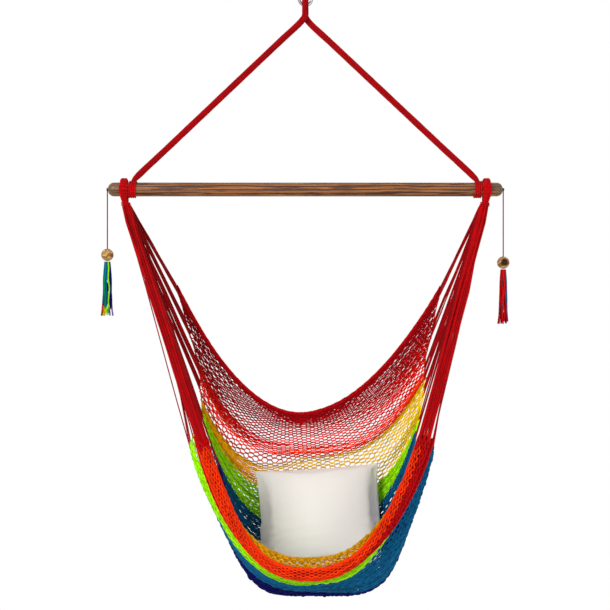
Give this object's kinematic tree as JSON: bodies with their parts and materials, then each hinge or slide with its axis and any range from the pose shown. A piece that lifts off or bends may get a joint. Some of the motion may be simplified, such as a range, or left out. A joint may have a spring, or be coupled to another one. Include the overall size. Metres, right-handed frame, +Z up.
{
  "type": "hammock chair",
  "caption": "Hanging hammock chair: rainbow cord net seat with rolled edges and a loose cushion, gathered to a wooden spreader bar with tassels, on a roped snap hook.",
  "frame": {"origin": "inside top of the snap hook's upper bow, where the ceiling hook carries the whole chair", "axes": "+Z up, +X to the right of someone who faces the chair, +Y away from them, so the sitter faces -Y"},
  "size_m": [1.0552, 0.546, 1.5922],
  "materials": {
    "steel": "satin",
    "crimson_cord": "matte",
    "scarlet_cord": "matte",
    "orange_cord": "matte",
    "gold_cord": "matte",
    "lime_cord": "matte",
    "teal_cord": "matte",
    "navy_cord": "matte",
    "bar_wood": "satin",
    "bead_wood": "satin",
    "cushion_cloth": "matte"
  },
  "bodies": {
    "hook_frame": {"snap_hook_body": "steel", "gate_rivet": "steel"},
    "gate": {"snap_hook_gate": "steel", "gate_spring": "steel"},
    "eye": {"rope_eye": "crimson_cord"},
    "suspension": {"left_leg_rope": "crimson_cord", "right_leg_rope": "crimson_cord", "spreader_bar": "bar_wood", "left_leg_hitch": "crimson_cord", "right_leg_hitch": "crimson_cord", "left_tassel_tack": "steel", "right_tassel_tack": "steel"},
    "seat": {"left_clew_loop": "crimson_cord", "right_clew_loop": "crimson_cord", "left_neck_seizing": "crimson_cord", "right_neck_seizing": "crimson_cord", "left_back_strings": "scarlet_cord", "left_middle_strings": "scarlet_cord", "left_front_strings": "scarlet_cord", "right_back_strings": "scarlet_cord", "right_middle_strings": "scarlet_cord", "right_front_strings": "scarlet_cord", "back_edge_roll": "crimson_cord", "net_red": "scarlet_cord", "net_orange": "orange_cord", "net_gold_back": "gold_cord", "net_lime_back": "lime_cord", "net_teal_back": "teal_cord", "net_navy": "navy_cord", "net_teal_front": "teal_cord", "net_lime_front": "lime_cord", "net_gold_front": "gold_cord", "front_lip_roll": "orange_cord", "front_edge_roll": "scarlet_cord"},
    "pillow": {"cushion": "cushion_cloth"},
    "left_cord": {"left_tassel_cord": "crimson_cord"},
    "left_bead": {"left_tassel_bead": "bead_wood"},
    "left_skirt": {"left_tassel_skirt": "teal_cord"},
    "right_cord": {"right_tassel_cord": "crimson_cord"},
    "right_bead": {"right_tassel_bead": "bead_wood"},
    "right_skirt": {"right_tassel_skirt": "scarlet_cord"}
  },
  "joints": [
    {"name": "gate_hinge", "type": "hinge", "parent": "hook_frame", "child": "gate", "pos_m": [0.01642, 0.0044, -0.0426], "axis": [0.2588, -0.9659, 0], "range_deg": [0, 25], "stiffness_Nm_per_rad": 0.1, "springref_deg": -28.65},
    {"name": "chair_swing", "type": "hinge", "parent": "hook_frame", "child": "eye", "pos_m": [0, 0, -0.068], "axis": [1, 0, 0], "range_deg": [-25, 25]},
    {"name": "chair_sway", "type": "hinge", "parent": "eye", "child": "suspension", "pos_m": [0, 0, -0.089], "axis": [0, 1, 0], "range_deg": [-15, 15]},
    {"name": "seat_tip", "type": "hinge", "parent": "suspension", "child": "seat", "pos_m": [0, 0, -0.544], "axis": [1, 0, 0], "range_deg": [-25, 25]},
    {"name": "cushion_lift", "type": "slide", "parent": "seat", "child": "pillow", "axis": [0, 0, 1], "range_m": [0, 0.25]},
    {"name": "left_cord_swing", "type": "hinge", "parent": "suspension", "child": "left_cord", "pos_m": [-0.5116, 0, -0.544], "axis": [1, 0, 0], "range_deg": [-50, 50]},
    {"name": "left_bead_slide", "type": "slide", "parent": "left_cord", "child": "left_bead", "axis": [0, 0, 1], "range_m": [0, 0.11]},
    {"name": "left_skirt_sway", "type": "hinge", "parent": "left_cord", "child": "left_skirt", "pos_m": [-0.5116, 0, -0.7296], "axis": [0, 1, 0], "range_deg": [-20, 20]},
    {"name": "right_cord_swing", "type": "hinge", "parent": "suspension", "child": "right_cord", "pos_m": [0.5116, 0, -0.544], "axis": [1, 0, 0], "range_deg": [-50, 50]},
    {"name": "right_bead_slide", "type": "slide", "parent": "right_cord", "child": "right_bead", "axis": [0, 0, 1], "range_m": [0, 0.11]},
    {"name": "right_skirt_sway", "type": "hinge", "parent": "right_cord", "child": "right_skirt", "pos_m": [0.5116, 0, -0.7496], "axis": [0, 1, 0], "range_deg": [-20, 20]}
  ]
}
